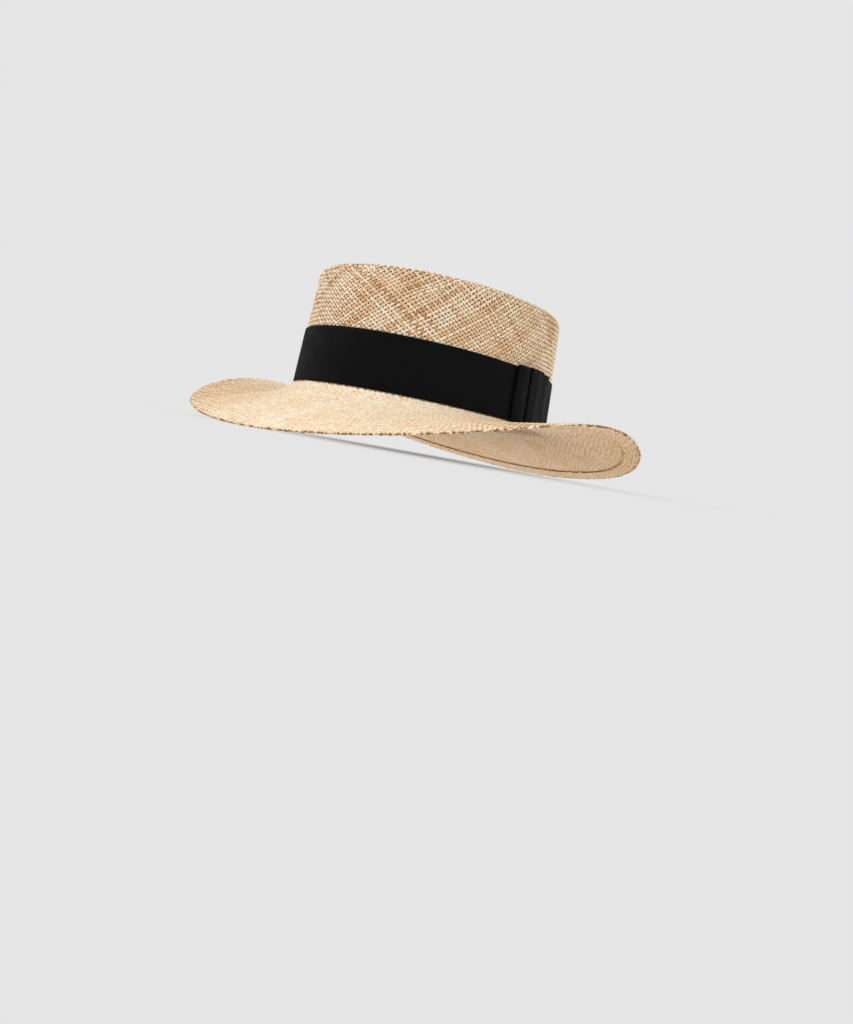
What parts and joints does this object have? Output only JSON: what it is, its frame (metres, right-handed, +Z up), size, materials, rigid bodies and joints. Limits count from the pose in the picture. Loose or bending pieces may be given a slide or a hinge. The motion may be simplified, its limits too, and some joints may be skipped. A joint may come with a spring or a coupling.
{
  "type": "straw hat",
  "caption": "Wide-brimmed woven straw hat with a flat-topped oval crown, a brim dipping at front and back, a dark ribbon band and a flat side bow.",
  "frame": {"origin": "on the surface that the hat stands on, under the middle of its box", "axes": "+Z up, the front of the hat faces -Y, the wearer's left side with the bow faces +X"},
  "size_m": [0.3094, 0.3286, 0.1135],
  "materials": {
    "crown_straw": "open plain weave of natural straw, satin strands in cream and tan",
    "brim_straw": "close plain weave of pale natural straw, satin",
    "band_ribbon": "black grosgrain ribbon with fine upright ribs",
    "bow_ribbon": "black grosgrain ribbon, folded"
  },
  "bodies": {
    "root": {"crown": "crown_straw", "brim": "brim_straw", "hat_band": "band_ribbon", "bow_loop": "bow_ribbon", "bow_knot": "bow_ribbon"}
  },
  "joints": []
}
